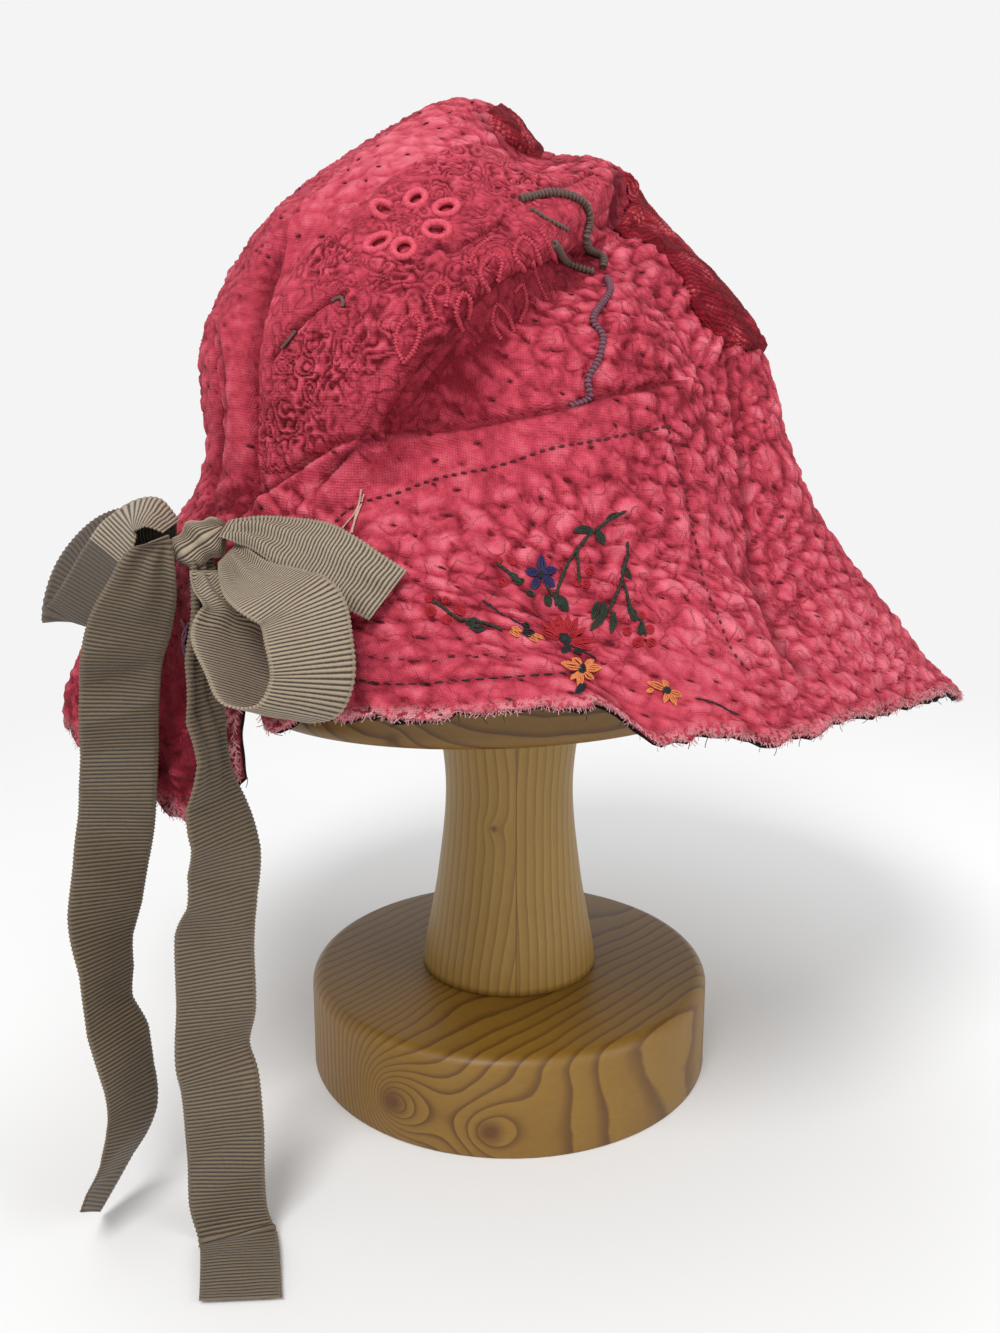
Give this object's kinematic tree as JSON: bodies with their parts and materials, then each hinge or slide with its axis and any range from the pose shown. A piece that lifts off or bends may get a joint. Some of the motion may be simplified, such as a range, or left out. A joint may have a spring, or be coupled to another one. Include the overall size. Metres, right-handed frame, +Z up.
{
  "type": "hat on hat stand",
  "caption": "Quilted cloth bell hat with a pieced crown fold, flared brim with a back slit and a ribbon bow, resting on a turned round wooden hat stand.",
  "frame": {"origin": "centre of the underside of the stand's round base", "axes": "+Z up along the stand; -Y towards the side that shows the bow's right loop and the embroidery; the hat's front points 48 degrees from +X towards +Y, and its slit and bow lie opposite"},
  "size_m": [0.3253, 0.3202, 0.3392],
  "materials": {
    "pine": "clear satin varnish over pine",
    "pink_quilt": "matt quilted cotton with hand stitches",
    "red_cloth": "matt raw cotton",
    "black_lining": "matt plain cotton",
    "grosgrain": "ribbed grosgrain with a soft sheen",
    "grey_thread": "wrapped embroidery thread",
    "purple_thread": "wrapped embroidery thread"
  },
  "bodies": {
    "root": {"stand_base": "pine", "stand_neck": "pine", "head_block": "pine", "hat_shell": "pink_quilt", "brim_lining": "black_lining", "cutwork_panel": "pink_quilt", "red_front_panel": "red_cloth", "eyelet_1": "pink_quilt", "eyelet_2": "pink_quilt", "eyelet_3": "pink_quilt", "eyelet_4": "pink_quilt", "eyelet_5": "pink_quilt", "eyelet_6": "pink_quilt", "grey_stem": "grey_thread", "grey_stem_branch": "grey_thread", "grey_stem_thread": "grey_thread", "purple_stem": "purple_thread", "ribbon_knot": "grosgrain", "left_loop": "grosgrain", "right_loop": "grosgrain", "ribbon_end": "grosgrain", "left_tail": "grosgrain", "right_tail": "grosgrain"}
  },
  "joints": []
}
